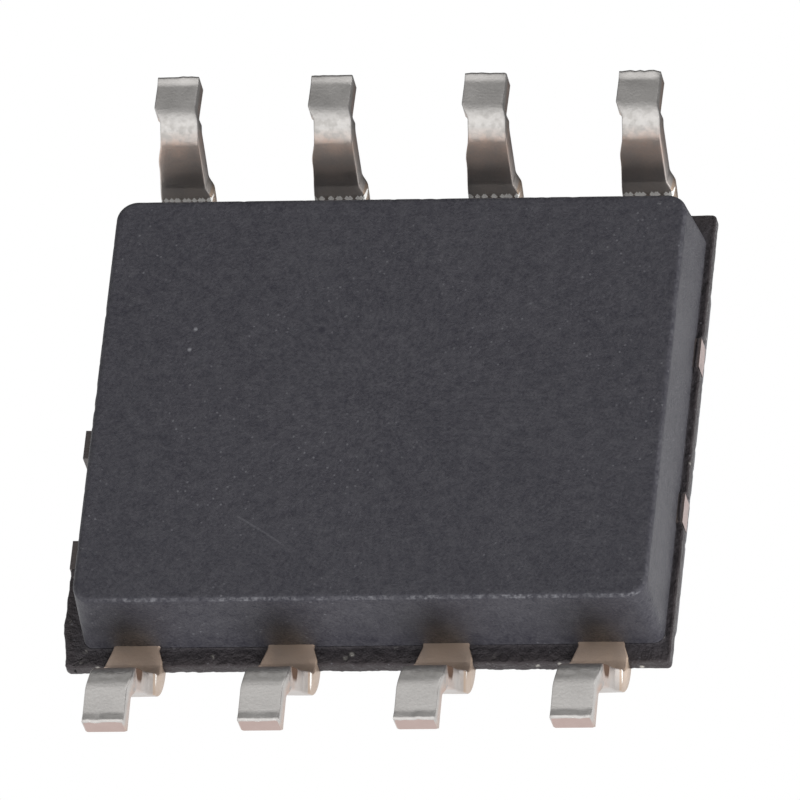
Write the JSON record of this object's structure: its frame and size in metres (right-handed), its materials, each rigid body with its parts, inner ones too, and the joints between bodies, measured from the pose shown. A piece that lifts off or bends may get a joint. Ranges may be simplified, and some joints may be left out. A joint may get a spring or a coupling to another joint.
{
  "type": "eight-lead small-outline integrated circuit package",
  "caption": "Black moulded small-outline chip package with gull-wing leads along two sides, for surface mounting on a circuit board.",
  "frame": {"origin": "centre of the package on the seating plane, which holds the soles of all the feet", "axes": "+Z away from the circuit board, X along the two lead rows, Y across them with the leads pointing to -Y and +Y. The picture shows the package lying on its back, seen from its underside."},
  "size_m": [0.005, 0.006, 0.0016],
  "materials": {
    "mould_resin": "matt black filled epoxy with a fine eroded texture",
    "tin_plate": "matt tin plating on copper alloy, bare copper at the cut ends",
    "copper_alloy": "plain copper alloy sheet",
    "silver_epoxy": "silver-filled adhesive",
    "silicon": "polished silicon with dull metal tracks",
    "gold_wire": "bright gold"
  },
  "bodies": {
    "root": {"mould_body": "mould_resin", "die_pad": "copper_alloy", "die_attach": "silver_epoxy", "silicon_die": "silicon", "lead_1": "tin_plate", "lead_2": "tin_plate", "lead_3": "tin_plate", "lead_4": "tin_plate", "lead_5": "tin_plate", "lead_6": "tin_plate", "lead_7": "tin_plate", "lead_8": "tin_plate", "bond_wire_1": "gold_wire", "bond_wire_2": "gold_wire", "bond_wire_3": "gold_wire", "bond_wire_4": "gold_wire", "bond_wire_5": "gold_wire", "bond_wire_6": "gold_wire", "bond_wire_7": "gold_wire", "bond_wire_8": "gold_wire"}
  },
  "joints": []
}
